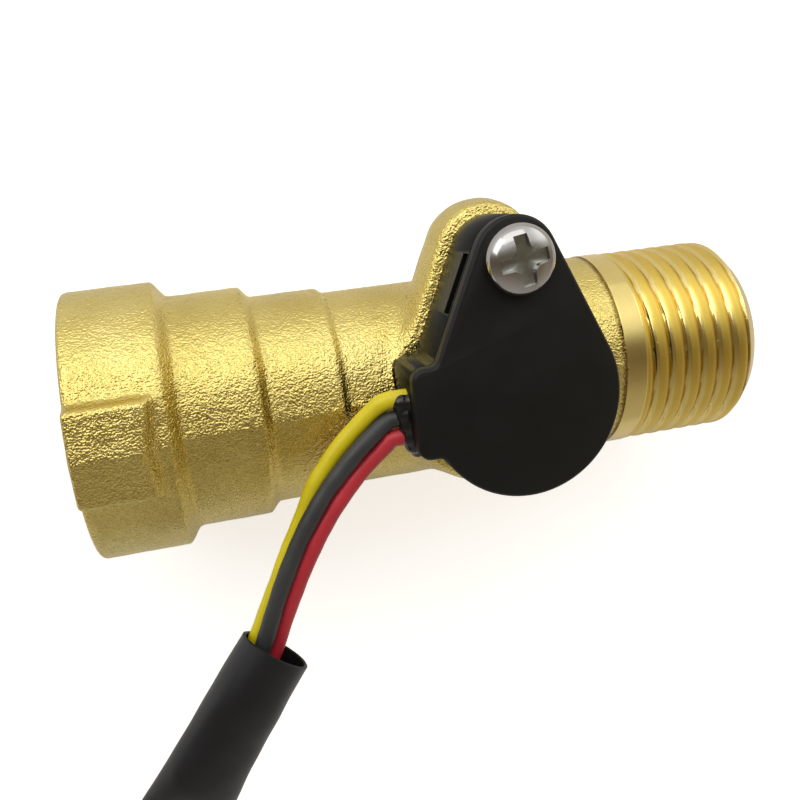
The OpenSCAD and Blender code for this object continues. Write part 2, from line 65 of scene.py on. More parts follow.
# Casting
SOCKET_R = 13.35
STEP2_R = 11.75
STEP3_R = 10.65
BARREL_R = 10.125
CAST_END_R = 10.4
MACHINED_X = 53.75
TURNED_FROM_X = MACHINED_X + 0.1
DRAFT = math.radians(10)
PAD_TOP = 15.0
PAD_HALF = 4.4
PAD_LEN = 7.1
PAD_SHORTER = 0.85
HEAD_X = 40.4
SEAT_Z = 9.5
SCREW_Y = 12.7
SEAT_R = 10.6
EAR_R = 5.4
EAR_T = 5.7

# Threads and bores
THREAD_R = 10.4775
PITCH = 1.814
GROOVE = 0.46
RING_END = 56.05
FIRST_VALLEY = 57.03
BODY_LEN = 69.4
CHAMFER_X = 67.9
CHAMFER_START_R = 10.35
CHAMFER_R = 8.9
INLET_R = 9.3155
INLET_DEPTH = 13.0
RELIEF_W = 1.0
RELIEF_R = THREAD_R + 0.1
GUIDE_BORE_R = 7.75
GUIDE_END = 27.0
ROTOR_BORE_R = 7.4
OUTLET_BORE_X = 54.0
OUTLET_BORE_R = 6.8
CLIP_X = 14.0
CLIP_W = 1.0
CLIP_R = 8.4

# Sensor case
CASE_R = 9.2
CASE_EAR_R = 3.9
COVER_Z = 16.0
CASE_TOP = 17.4
LOBE_OUT = 1.3
LOBE_W = 8.4
SCREW_HOLE_R = 1.95
SHANK_R = 1.75
SCREW_HEAD_R = 3.2

# Cable
WIRE_D = 1.6
REST_Z = -15.0
YELLOW_ROUTE = [(35, 1.2, 14.22), (31.5, 1.2, 14.22), (28.4, 1.2, 14.22), (27.4, 0.9, 14),
                (26.5, 0.2, 13.7), (25.4, -0.8, 13.4), (24.2, -1.9, 13.2), (22.9, -3.2, 13.1),
                (21.9, -4.4, 13), (21.1, -5.4, 12.9), (20.4, -6.5, 12.8), (19.8, -7.8, 12.7),
                (18.9, -9.5, 12.6), (17.1, -12.9, 12.4), (16, -15.1, 12.4), (14.9, -17.3, 12.3),
                (13.7, -19.6, 12.3), (12.8, -21.2, 12.3), (10.9, -24, 12.3)]
BLACK_ROUTE = [(35, -0.6, 14.22), (31.5, -0.6, 14.22), (28.4, -0.6, 14.22), (27.4, -1, 14.3),
               (26.3, -1.8, 14.4), (25.3, -2.6, 14.4), (24.4, -3.4, 14.4), (23.4, -4.4, 14.3),
               (22.5, -5.3, 14.3), (21.7, -6.2, 14.2), (20.8, -7.3, 14.2), (19.6, -9, 14.2),
               (18.4, -10.9, 14.1), (17.2, -13.1, 14.1), (16.1, -15.3, 14), (15.1, -17.5, 14),
               (14.1, -19.8, 13.9), (13.4, -21.2, 13.9), (11.5, -24, 13.9)]
RED_ROUTE = [(35, -2.4, 14.22), (31.5, -2.4, 14.22), (28.4, -2.4, 14.22), (27.7, -2.9, 14.1),
             (26.8, -3.7, 14), (26, -4.4, 13.9), (25.1, -5.2, 13.9), (24.2, -6.1, 13.9),
             (23.4, -7, 13.9), (22.4, -8.2, 13.9), (21.4, -9.5, 13.9), (20.4, -10.9, 13.9),
             (19.5, -12.4, 13.8), (18.5, -14.1, 13.7), (17.6, -15.8, 13.5), (16.7, -17.6, 13.3),
             (15.9, -19.3, 13.1), (14.8, -21.6, 12.9), (13, -24.4, 12.8)]
SLEEVE_DROP = [(14.9, -21.3, 13.3), (12.8, -24, 13.3), (11.5, -25.8, 13.3), (10.2, -27.6, 13.2),
               (8.9, -29.5, 13.1), (7.5, -31.5, 12.9), (6.2, -33.6, 12.5), (4.8, -35.9, 11.9),
               (2.1, -40.4, 10.2), (-0.7, -44.9, 7.7), (-3.4, -49.3, 4.7), (-6.1, -53.8, 1.3),
               (-8.9, -58.3, -2.1), (-11.6, -62.8, -5.4), (-14.3, -67.2, -8.3)]
SLEEVE_HALF_H = 1.7
MOUTH_R = 3.45
LOOP_R = 33.0
LOOP_CENTRE = (11.1, -88.9)
LOOP_START = 148.7
LOOP_TURN = 200.0
LOOP_STEPS = 15
LOOP_HIGH = 2.5
SETTLED_FROM = 3
LEAD_LEN = 10.0
PIN_PITCH = 2.5
CONN_Z = REST_Z + 2.7


# Node materials

def new_material(name):
    """A material with its Principled shader, and a function that adds nodes to it."""
    material = bpy.data.materials.new(name)
    material.use_nodes = True
    tree = material.node_tree
    shader = tree.nodes["Principled BSDF"]

    def add(kind, inputs=None, **settings):
        node = tree.nodes.new(kind)
        for key, value in settings.items():
            setattr(node, key, value)
        for key, value in (inputs or {}).items():
            if isinstance(value, bpy.types.NodeSocket):
                tree.links.new(value, node.inputs[key])
            else:
                node.inputs[key].default_value = value
        return node

    return material, shader, add


def link(material, out, socket):
    material.node_tree.links.new(out, socket)


def ramp(add, fac, stops):
    """A colour ramp through (position, colour) stops."""
    node = add("ShaderNodeValToRGB", {"Fac": fac})
    elements = node.color_ramp.elements
    while len(elements) < len(stops):
        elements.new(0.5)
    for element, (position, colour) in zip(elements, stops):
        element.position = position
        element.color = (*colour, 1)
    return node.outputs["Color"]


def noise_node(add, scale, detail, roughness, vector):
    return add("ShaderNodeTexNoise", {"Scale": scale, "Detail": detail, "Roughness": roughness,
                                      "Vector": vector})


def object_coords(add, scale=(1, 1, 1)):
    coords = add("ShaderNodeTexCoord")
    mapping = add("ShaderNodeMapping", {"Vector": coords.outputs["Object"], "Scale": scale})
    return mapping.outputs["Vector"]


def cast_brass():
    """Sand-cast and tumbled brass: a dense crinkled grain, and a dark fringe beside the turned ring."""
    material, shader, add = new_material("brass_cast")
    coords = object_coords(add)
    grain = noise_node(add, 5200, 1.0, 0.5, coords)
    coarse = noise_node(add, 2400, 1.0, 0.5, coords)
    blotch = noise_node(add, 130, 3.0, 0.55, coords)
    height = add("ShaderNodeMath", {0: coarse.outputs["Fac"], 1: 0.8, 2: grain.outputs["Fac"]},
                 operation="MULTIPLY_ADD")
    bump = add("ShaderNodeBump", {"Height": height.outputs[0], "Strength": 1.0, "Distance": 0.00011})
    colour = ramp(add, blotch.outputs["Fac"], [(0.30, (0.72, 0.565, 0.165)), (0.52, (0.80, 0.645, 0.205)),
                                               (0.74, (0.86, 0.71, 0.25))])
    spot = add("ShaderNodeSeparateXYZ", {"Vector": coords})
    ragged_by = 0.0009
    ragged = add("ShaderNodeMath", {0: grain.outputs["Fac"], 1: ragged_by, 2: spot.outputs["X"]},
                 operation="MULTIPLY_ADD")
    near_ring = add("ShaderNodeMapRange", {"Value": ragged.outputs[0], "From Min": (MACHINED_X - 0.05) * MM,
                                           "From Max": (MACHINED_X + 0.35) * MM})
    fringe = ramp(add, near_ring.outputs["Result"], [(0.0, (1, 1, 1)), (1.0, (0.34, 0.28, 0.20))])
    mixed = add("ShaderNodeMix", {"Factor": 1.0, "A": colour, "B": fringe}, data_type="RGBA",
                blend_type="MULTIPLY")
    rough = add("ShaderNodeMapRange", {"Value": blotch.outputs["Fac"], "To Min": 0.17, "To Max": 0.27})
    shader.inputs["Metallic"].default_value = 1.0
    link(material, mixed.outputs["Result"], shader.inputs["Base Color"])
    link(material, rough.outputs["Result"], shader.inputs["Roughness"])
    link(material, bump.outputs["Normal"], shader.inputs["Normal"])
    return material


def machined_brass(name, colour, rough, lathe_depth, threaded=False):
    """Turned brass with fine lathe lines round the pipe axis and a few specks.

    A thread has satin crests of a deeper colour, a painted highlight as a pale band on the outlet side of
    each valley, and painted shade as a dark line on its inlet side.
    """
    material, shader, add = new_material(name)
    coords = object_coords(add)
    lines = noise_node(add, 1.0, 3.0, 0.6, object_coords(add, (9000, 160, 160)))
    smear = noise_node(add, 240, 3.0, 0.6, coords)
    specks = noise_node(add, 2600, 1.0, 0.5, coords)
    dots = ramp(add, specks.outputs["Fac"], [(0.72, (0, 0, 0)), (0.78, (1, 1, 1))])
    height = add("ShaderNodeMath", {0: dots, 1: 2.0, 2: lines.outputs["Fac"]}, operation="MULTIPLY_ADD")
    bump = add("ShaderNodeBump", {"Height": height.outputs[0], "Strength": 0.5, "Distance": lathe_depth})
    dark = tuple(c * 0.93 for c in colour)
    light = tuple(min(1, c * 1.05) for c in colour)
    tone = ramp(add, smear.outputs["Fac"], [(0.30, dark), (0.75, light)])
    shine = add("ShaderNodeMapRange", {"Value": lines.outputs["Fac"], "To Min": rough * 0.75,
                                       "To Max": rough * 1.25}).outputs["Result"]
    if threaded:
        phase = thread_phase(add, coords)
        # Colour through each turn: a painted highlight (a pale band just after the valley), and painted shade
        # (a dark line just before the next valley). The crests between are a deeper gold.
        crest_colour_and_painted_light = ramp(add, phase, [(0.0, (0.80, 0.72, 0.50)), (0.06, (1, 1, 1)), (0.17, (1, 1, 1)),
                                  (0.28, (0.94, 0.85, 0.46)), (0.84, (0.93, 0.83, 0.40)),
                                  (0.95, (0.68, 0.56, 0.28))])
        tone = add("ShaderNodeMix", {"Factor": 1.0, "A": tone, "B": crest_colour_and_painted_light}, data_type="RGBA",
                   blend_type="MULTIPLY").outputs["Result"]
        satin = ramp(add, phase, [(0.22, (0, 0, 0)), (0.32, (1, 1, 1))])
        shine = add("ShaderNodeMath", {0: satin, 1: 0.22, 2: shine}, operation="MULTIPLY_ADD").outputs[0]
    shader.inputs["Metallic"].default_value = 1.0
    link(material, tone, shader.inputs["Base Color"])
    link(material, shine, shader.inputs["Roughness"])
    link(material, bump.outputs["Normal"], shader.inputs["Normal"])
    return material


def thread_phase(add, coords):
    """Where a spot lies in its turn of the outlet thread: 0 at a valley, and 1 at the next one."""
    spot = add("ShaderNodeSeparateXYZ", {"Vector": coords})
    angle = add("ShaderNodeMath", {0: spot.outputs["Y"], 1: spot.outputs["Z"]}, operation="ARCTAN2")
    start = add("ShaderNodeMath", {0: angle.outputs[0], 1: 0.5 / math.pi, 2: -FIRST_VALLEY / PITCH},
                operation="MULTIPLY_ADD")
    turns = add("ShaderNodeMath", {0: spot.outputs["X"], 1: 1 / (PITCH * MM), 2: start.outputs[0]},
                operation="MULTIPLY_ADD")
    return add("ShaderNodeMath", {0: turns.outputs[0]}, operation="FRACT").outputs[0]


def plastic(name, colour, rough, grain_scale=900, grain=0.00001, variation=0.12, mottle=220, shine_level=0.5):
    """Moulded or extruded plastic: a fine grain, and slight changes of colour and gloss."""
    material, shader, add = new_material(name)
    coords = object_coords(add)
    fine = noise_node(add, grain_scale, 3.0, 0.55, coords)
    broad = noise_node(add, mottle, 3.0, 0.55, coords)
    dark = tuple(c * (1 - variation) for c in colour)
    light = tuple(min(1, c * (1 + variation)) for c in colour)
    tone = ramp(add, broad.outputs["Fac"], [(0.30, dark), (0.70, light)])
    shine = add("ShaderNodeMapRange", {"Value": broad.outputs["Fac"], "From Min": 0.3, "From Max": 0.7,
                                       "To Min": rough * 0.88, "To Max": min(1, rough * 1.14)})
    bump = add("ShaderNodeBump", {"Height": fine.outputs["Fac"], "Strength": 0.5, "Distance": grain})
    link(material, tone, shader.inputs["Base Color"])
    link(material, shine.outputs["Result"], shader.inputs["Roughness"])
    link(material, bump.outputs["Normal"], shader.inputs["Normal"])
    shader.inputs["Specular IOR Level"].default_value = shine_level
    return material


def metal(name, colour, rough, line_scale=(400, 400, 400), variation=0.06):
    """Plated or turned metal with faint marks."""
    material, shader, add = new_material(name)
    marks = noise_node(add, 1.0, 4.0, 0.6, object_coords(add, line_scale))
    dark = tuple(c * (1 - variation) for c in colour)
    light = tuple(min(1, c * (1 + variation)) for c in colour)
    tone = ramp(add, marks.outputs["Fac"], [(0.32, dark), (0.68, light)])
    shine = add("ShaderNodeMapRange", {"Value": marks.outputs["Fac"], "To Min": rough * 0.7,
                                       "To Max": rough * 1.4})
    bump = add("ShaderNodeBump", {"Height": marks.outputs["Fac"], "Strength": 0.4, "Distance": 0.000006})
    shader.inputs["Metallic"].default_value = 1.0
    link(material, tone, shader.inputs["Base Color"])
    link(material, shine.outputs["Result"], shader.inputs["Roughness"])
    link(material, bump.outputs["Normal"], shader.inputs["Normal"])
    return material


# Mesh helpers

def make_piece(name, points, faces, material, crease=35):
    """A smooth-shaded mesh from points in millimetres. Edges sharper than crease degrees stay crisp."""
    mesh = bpy.data.meshes.new(name)
    mesh.from_pydata([tuple(p) for p in np.asarray(points, float) * MM], [], [tuple(f) for f in faces])
    mesh.update()
    piece = bpy.data.objects.new(name, mesh)
    bpy.context.scene.collection.objects.link(piece)
    if material is not None:
        mesh.materials.append(material)
    shade(piece, crease)
    return piece


def shade(piece, crease):
    bm = bmesh.new()
    bm.from_mesh(piece.data)
    bmesh.ops.recalc_face_normals(bm, faces=bm.faces)
    limit = math.radians(crease)
    for face in bm.faces:
        face.smooth = True
    for edge in bm.edges:
        edge.smooth = len(edge.link_faces) != 2 or edge.calc_face_angle(0) < limit
    bm.to_mesh(piece.data)
    bm.free()


def dress(piece, *materials):
    """Gives a mesh these materials and no others."""
    piece.data.materials.clear()
    for material in materials:
        piece.data.materials.append(material)


def boolean(piece, cutter, operation="DIFFERENCE"):
    modifier = piece.modifiers.new(operation, "BOOLEAN")
    modifier.operation = operation
    modifier.solver = "MANIFOLD"
    modifier.object = cutter
    apply_modifiers(piece)
    bpy.data.objects.remove(cutter)


def apply_modifiers(piece):
    depsgraph = bpy.context.evaluated_depsgraph_get()
    mesh = bpy.data.meshes.new_from_object(piece.evaluated_get(depsgraph))
    piece.modifiers.clear()
    old = piece.data
    piece.data = mesh
    mesh.name = piece.name
    bpy.data.meshes.remove(old)


def grid_faces(rows, columns):
    """Quads of a grid of rows of points, each row a ring of columns points."""
    faces = []
    for i in range(rows - 1):
        for j in range(columns):
            k = (j + 1) % columns
            faces.append((i * columns + j, i * columns + k, (i + 1) * columns + k, (i + 1) * columns + j))
    return faces


def capped(rows, columns):
    """Quads of a closed tube of rings, with a flat face on each end."""
    first = tuple(range(columns - 1, -1, -1))
    last = tuple((rows - 1) * columns + j for j in range(columns))
    return grid_faces(rows, columns) + [first, last]


def turned_points(xs, radius, columns):
    """Rings round the X axis. radius is a function of x and of the angle from +Z toward +Y, in degrees."""
    angles = np.arange(columns) * 360 / columns
    points = []
    for x in xs:
        for angle in angles:
            r = radius(x, angle)
            a = math.radians(angle)
            points.append((x, r * math.sin(a), r * math.cos(a)))
    return points


def round_ring(x, r, columns):
    """One round ring about the X axis."""
    angles = [math.radians(angle) for angle in np.arange(columns) * 360 / columns]
    return [(x, r * math.sin(a), r * math.cos(a)) for a in angles]


def rod_z(name, x, y, z0, z1, r):
    columns = 48
    ring = [(x + r * math.cos(2 * math.pi * k / columns), y + r * math.sin(2 * math.pi * k / columns))
            for k in range(columns)]
    points = [(px, py, z) for z in (z0, z1) for px, py in ring]
    return make_piece(name, points, capped(2, columns), None)


# Rounded shapes as distance fields, in millimetres

def smooth_min(a, b, k):
    h = np.clip(0.5 + 0.5 * (b - a) / k, 0, 1)
    return b + (a - b) * h - k * h * (1 - h)


def smooth_max(a, b, k):
    return -smooth_min(-a, -b, k)


def smooth_step(t):
    t = np.clip(t, 0, 1)
    return t * t * (3 - 2 * t)


def teardrop(x, y, rb, re):
    """Distance to the outline of two circles and their tangents: radius rb at the origin, re at the screw."""
    px = np.abs(x)
    b = (rb - re) / SCREW_Y
    a = math.sqrt(1 - b * b)
    k = -b * px + a * y
    low = np.hypot(px, y) - rb
    high = np.hypot(px, y - SCREW_Y) - re
    side = a * px + b * y - rb
    return np.where(k < 0, low, np.where(k > a * SCREW_Y, high, side))


def surface_nets(field, low, step):
    """Points and quads of the surface where the field is zero, one point in each cell that it crosses."""
    shape = np.array(field.shape) - 1
    total = np.zeros((*shape, 3))
    count = np.zeros(shape)
    inside = field < 0
    edges = []
    for axis in range(3):
        a = np.moveaxis(field, axis, 0)
        s = np.moveaxis(inside, axis, 0)
        crossing = s[:-1] != s[1:]
        gap = np.where(crossing, a[:-1] - a[1:], 1)
        t = np.where(crossing, a[:-1] / gap, 0)
        edges.append((crossing, s[:-1]))
        others = [k for k in range(3) if k != axis]
        for u in (0, 1):
            for v in (0, 1):
                part = (slice(None), slice(u, shape[others[0]] + u), slice(v, shape[others[1]] + v))
                hit = np.moveaxis(crossing[part], 0, axis)
                total[..., axis] += np.moveaxis(t[part], 0, axis)
                total[..., others[0]] += hit * u
                total[..., others[1]] += hit * v
                count += hit
    used = count > 0
    index = np.full(shape, -1)
    index[used] = np.arange(used.sum())
    cells = np.argwhere(used)
    points = (cells + total[used] / count[used][:, None]) * step + np.array(low)
    faces = []
    for axis, (crossing, starts_inside) in enumerate(edges):
        others = [k for k in range(3) if k != axis]
        found = np.argwhere(crossing)
        keep = ((found[:, 1] > 0) & (found[:, 2] > 0) & (found[:, 1] < shape[others[0]])
                & (found[:, 2] < shape[others[1]]))
        found = found[keep]
        flip = starts_inside[tuple(found.T)] ^ (axis == 1)
        quad = []
        for du, dv in ((1, 1), (0, 1), (0, 0), (1, 0)):
            cell = np.zeros((len(found), 3), int)
            cell[:, axis] = found[:, 0]
            cell[:, others[0]] = found[:, 1] - du
            cell[:, others[1]] = found[:, 2] - dv
            quad.append(index[tuple(cell.T)])
        quad = np.stack(quad, 1)
        quad[flip] = quad[flip][:, ::-1]
        faces.append(quad)
    return points, np.concatenate(faces)


def settle(points, field):
    """Moves the points onto the surface along the field's slope."""
    reach = 0.02
    for _ in range(3):
        here = field(points)
        slope = np.zeros_like(points)
        for axis in range(3):
            side = np.zeros(3)
            side[axis] = reach
            slope[:, axis] = (field(points + side) - field(points - side)) / (2 * reach)
        size = np.maximum((slope ** 2).sum(1), 0.25)
        points = points - (here / size)[:, None] * slope
    return points


def solid_of(name, field, low, high, step, material):
    """A closed mesh of a distance field inside a box."""
    axes = [np.arange(low[k], high[k] + step, step) for k in range(3)]
    lattice = np.stack(np.meshgrid(*axes, indexing="ij"), -1)
    points, faces = surface_nets(field(lattice), low, step)
    points = settle(points, field)
    return make_piece(name, points, faces, material, 60)


def roughen(points, size, scale, seed):
    """Noise at each point, from -size to size."""
    offset = Vector((seed * 17.3, seed * 5.1, seed * 9.7))
    return np.array([noise.noise(Vector(p) * scale + offset) for p in points]) * size


# Brass body

def cast_radius(x):
    """Radius of the casting along the pipe, with the three rounded steps."""
    def down(centre, width):
        return smooth_step((x - centre) / width + 0.5)
    r = SOCKET_R + (STEP2_R - SOCKET_R) * down(9.17, 1.6)
    r = r + (STEP3_R - STEP2_R) * down(17.4, 1.3)
    r = r + (BARREL_R - STEP3_R) * down(24.95, 0.8)
    return r + (CAST_END_R - BARREL_R) * smooth_step((x - 46) / (MACHINED_X - 46))


def casting_field(p):
    x, y, z = p[..., 0], p[..., 1], p[..., 2]
    radial = np.hypot(y, z)
    lean = np.arctan2(np.abs(y), np.abs(z))
    ridge = 1 / np.cos(np.maximum(0, DRAFT - lean))
    pipe = (radial / ridge - cast_radius(x)) * 0.8

    crown = (np.abs(y) * math.sin(DRAFT) + np.abs(z) * math.cos(DRAFT)) - PAD_TOP * math.cos(DRAFT)
    side = np.abs(y) + 0.17 * (np.abs(z) - 14.2) - PAD_HALF
    run_out = (x - PAD_LEN + PAD_SHORTER) * 0.80 + (np.abs(z) - PAD_TOP) * 0.60
    pad = smooth_max(smooth_max(crown, side, 0.35), run_out, 0.45)
    body = smooth_min(pipe, pad, 0.45)

    top = SEAT_Z + 0.2
    bottom = SEAT_Z - EAR_T
    belly = np.abs(z - 6.5)
    outline = teardrop(x - HEAD_X, y, SEAT_R, EAR_R) + 0.075 * belly ** 1.6
    boss = smooth_max(outline, np.maximum(z - top, bottom - z), 1.1)
    body = smooth_min(body, boss, 1.5)
    return smooth_max(smooth_max(body, -x, 0.6), x - MACHINED_X - 0.4, 0.1)


def thread_depth(x, angle):
    """Depth of the outlet thread's groove: wide rounded crests and narrow valleys, right-handed."""
    turns = (x - FIRST_VALLEY) / PITCH + angle / 360
    from_crest = abs((turns % 1) - 0.5) * 2
    start = float(smooth_step((x - RING_END - 0.1) / 0.5))
    step = 0.07 * float(smooth_step((x - RING_END) / 0.12))
    return GROOVE * from_crest ** 3.0 * start + step


def outlet_radius(x, angle):
    r = THREAD_R - thread_depth(x, angle)
    chamfer = CHAMFER_START_R - (x - CHAMFER_X) * (CHAMFER_START_R - CHAMFER_R) / (BODY_LEN - CHAMFER_X)
    return min(r, chamfer) if x > CHAMFER_X - 0.5 else r


def ragged_edge(angle):
    """Where the turned ring runs into the rough casting."""
    a = math.radians(angle)
    return 0.16 * noise.noise(Vector((math.sin(a) * 5, math.cos(a) * 5, 0.5))) + 0.05 * math.sin(a * 23)


def outlet_end():
    """The turned ring and the male thread, as a closed solid."""
    columns = 240
    fine = PITCH / 18
    xs = [52.0, 53.6, 53.72]
    xs += list(np.arange(TURNED_FROM_X, BODY_LEN - 0.02, fine)) + [BODY_LEN]
    points = turned_points(xs, outlet_radius, columns)
    angles = np.arange(columns) * 360 / columns
    for j, angle in enumerate(angles):
        a = math.radians(angle)
        shift = ragged_edge(angle)
        for i, r in ((0, 9.6), (1, 10.1), (2, 10.42)):
            points[i * columns + j] = (xs[i] + shift, r * math.sin(a), r * math.cos(a))
    return make_piece("outlet_end", points, capped(len(xs), columns), None)


def bore_radius(x, angle):
    """Radius of the female thread, with a chamfer at its mouth."""
    turns = x / PITCH + angle / 360
    groove = 1 - abs((turns % 1) - 0.5) * 2
    depth = min(1.0, max(0, groove * 1.3 - 0.15)) * (THREAD_R - INLET_R)
    mouth = THREAD_R + 0.35 - x * 1.05
    return max(INLET_R + depth, mouth)


def bore_cutter():
    """The female thread and its relief, the cartridge bores and the outlet bore, in one solid."""
    columns = 144
    fine = PITCH / 12
    edge = 0.01
    thread_xs = [-1.0] + list(np.arange(0, INLET_DEPTH - RELIEF_W, fine))
    steps = [(INLET_DEPTH - RELIEF_W, RELIEF_R), (INLET_DEPTH, RELIEF_R),
             (INLET_DEPTH + edge, GUIDE_BORE_R + 0.3), (INLET_DEPTH + 0.3, GUIDE_BORE_R),
             (CLIP_X - edge, GUIDE_BORE_R), (CLIP_X, CLIP_R), (CLIP_X + CLIP_W, CLIP_R),
             (CLIP_X + CLIP_W + edge, GUIDE_BORE_R), (GUIDE_END, GUIDE_BORE_R),
             (GUIDE_END + edge, ROTOR_BORE_R), (OUTLET_BORE_X, ROTOR_BORE_R),
             (OUTLET_BORE_X + edge, OUTLET_BORE_R), (BODY_LEN - 0.5, OUTLET_BORE_R),
             (BODY_LEN, OUTLET_BORE_R + 0.45), (BODY_LEN + 1, OUTLET_BORE_R + 0.45)]
    points = turned_points(thread_xs, bore_radius, columns)
    for x, r in steps:
        points += round_ring(x, r, columns)
    return make_piece("bore_cutter", points, capped(len(thread_xs) + len(steps), columns), None)


def seat_cutter():
    """What lies above the seat: its outline, and a little room round the case."""
    def room(x, y):
        return np.minimum(teardrop(x, y, SEAT_R + 0.05, EAR_R + 0.3), case_field(x, y) - 0.15)

    outline = level_outline(room, 0.0, 160)
    points = [(HEAD_X + x, y, z) for z in (SEAT_Z, SEAT_Z + 6) for x, y in outline]
    return make_piece("seat_cutter", points, capped(2, len(outline)), None)


def paint_brass(body, cast, machined, threaded):
    """Picks each face's brass. Turned faces are the outlet end, the bores and the inlet's rim."""
    dress(body, cast, machined, threaded)
    for face in body.data.polygons:
        x, y, z = face.center / MM
        r = math.hypot(y, z)
        bored = r < THREAD_R + 0.6 and x < INLET_DEPTH + 0.1 or r < CLIP_R + 0.05
        turned = x > TURNED_FROM_X and r > 10.3 or x > MACHINED_X + 1
        on_rim = x < 0.02
        face.material_index = 1 if bored or turned or on_rim else 0
        if RING_END + 0.15 < x < CHAMFER_X + 0.6 and r > 9:
            face.material_index = 2


def brass_body(cast, machined, threaded):
    step = 0.34
    low = (-0.9, -14.79, -16.0)
    high = (54.9, 19.4, 16.0)
    body = solid_of("valve_body_look", casting_field, low, high, step, None)
    skin = body.data
    normals = np.array([v.normal for v in skin.vertices])
    points = np.array([v.co for v in skin.vertices]) / MM
    swell = roughen(points, 0.045, 0.45, 1) + roughen(points, 0.03, 1.3, 2)
    rim = np.clip(points[:, 0] / 0.8, 0, 1)
    points = points + normals * (swell * rim)[:, None]
    skin.vertices.foreach_set("co", (points * MM).ravel())
    skin.update()
    boolean(body, outlet_end(), "UNION")
    boolean(body, bore_cutter())
    boolean(body, seat_cutter())
    boolean(body, rod_z("screw_hole", HEAD_X, SCREW_Y, SEAT_Z - 4.8, SEAT_Z + 1, SHANK_R))
    paint_brass(body, cast, machined, threaded)
    shade(body, 38)
    return body


# Sensor case

def rounded_box_2d(x, y, cx, cy, hx, hy, r):
    qx = np.abs(x - cx) - (hx - r)
    qy = np.abs(y - cy) - (hy - r)
    return np.hypot(np.maximum(qx, 0), np.maximum(qy, 0)) + np.minimum(np.maximum(qx, qy), 0) - r


def case_field(x, y):
    """Distance to the case's outline: the teardrop and the cable lobe on its inlet side."""
    reach = (CASE_R + LOBE_OUT) / 2
    lobe = rounded_box_2d(x, y, -reach, 0, reach, LOBE_W / 2, 1.2)
    return smooth_min(teardrop(x, y, CASE_R, CASE_EAR_R), lobe, 0.5)


def level_outline(field, level, count=288):
    """Points round the outline where the field has that level, found along rays from the origin."""
    angles = np.arange(count) * 2 * math.pi / count
    cos, sin = np.cos(angles), np.sin(angles)
    near = np.zeros(count)
    far = np.full(count, 30.0)
    for _ in range(40):
        mid = (near + far) / 2
        inner = field(mid * cos, mid * sin) < level
        near = np.where(inner, mid, near)
        far = np.where(inner, far, mid)
    return list(zip(near * cos, near * sin))


def case_stack(name, levels, material):
    """A solid from the case's outline at (height, inset) levels, from the bottom up."""
    points = []
    for z, inset in levels:
        points += [(HEAD_X + x, y, z) for x, y in level_outline(case_field, -inset)]
    count = len(points) // len(levels)
    return make_piece(name, points, capped(len(levels), count), material, 40)


def cut_box(name, corner_a, corner_b, turn, pivot):
    """A box cutter turned about Z at a pivot."""
    (x0, y0, z0), (x1, y1, z1) = corner_a, corner_b
    plan = [(x0, y0), (x1, y0), (x1, y1), (x0, y1)]
    cos, sin = math.cos(turn), math.sin(turn)
    plan = [(pivot[0] + x * cos - y * sin, pivot[1] + x * sin + y * cos) for x, y in plan]
    points = [(x, y, z) for z in (z0, z1) for x, y in plan]
    return make_piece(name, points, capped(2, 4), None)


def sensor_case(material):
    """The case's tub, with a window under the cover in each flank."""
    soft = 0.25
    case = case_stack("sensor_case_look", [(SEAT_Z, 0.1), (SEAT_Z + 0.1, 0), (COVER_Z - 0.12, 0),
                                           (COVER_Z, 0.1)], material)
    flank = math.asin((CASE_R - CASE_EAR_R) / SCREW_Y)
    for side in (-1, 1):
        cutter = cut_box("window", (-CASE_R - 1, 5.1, COVER_Z - 1.75), (-CASE_R + 1, 10.7, COVER_Z - soft),
                         -flank, (0, 0))
        cutter.data.transform(Matrix.Diagonal((-side, 1, 1, 1)))
        cutter.data.transform(Matrix.Translation((HEAD_X * MM, 0, 0)))
        if side > 0:
            cutter.data.flip_normals()
        boolean(case, cutter)
    boolean(case, rod_z("case_hole", HEAD_X, SCREW_Y, SEAT_Z - 1, COVER_Z + 1, SCREW_HOLE_R))
    dress(case, material)
    shade(case, 40)
    return case


def case_cover(material):
    """The cover, with a rounded upper edge and a screw hole."""
    levels = [(COVER_Z + 0.02, 0.12), (COVER_Z + 0.14, 0)]
    levels += [(CASE_TOP - 0.27, 0), (CASE_TOP - 0.24, 0.01), (CASE_TOP - 0.05, 0.18), (CASE_TOP, 0.28)]
    cover = case_stack("case_cover_look", levels, material)
    boolean(cover, rod_z("cover_hole", HEAD_X, SCREW_Y, COVER_Z - 1, CASE_TOP + 1, SCREW_HOLE_R))
    dress(cover, material)
    shade(cover, 40)
    return cover


# Screw

def recess_outline(reach, half, corner):
    """Plan of a cross recess: four arms of that half-width, joined by rounded corners."""
    middle = half + corner
    points = []
    for quarter in range(4):
        turn = quarter * math.pi / 2
        local = [(reach, -half), (reach, half)]
        for k in range(7):
            a = math.radians(270 - 90 * k / 6)
            local.append((middle + corner * math.cos(a), middle + corner * math.sin(a)))
        for x, y in local:
            points.append((x * math.cos(turn) - y * math.sin(turn),
                           x * math.sin(turn) + y * math.cos(turn)))
    return points


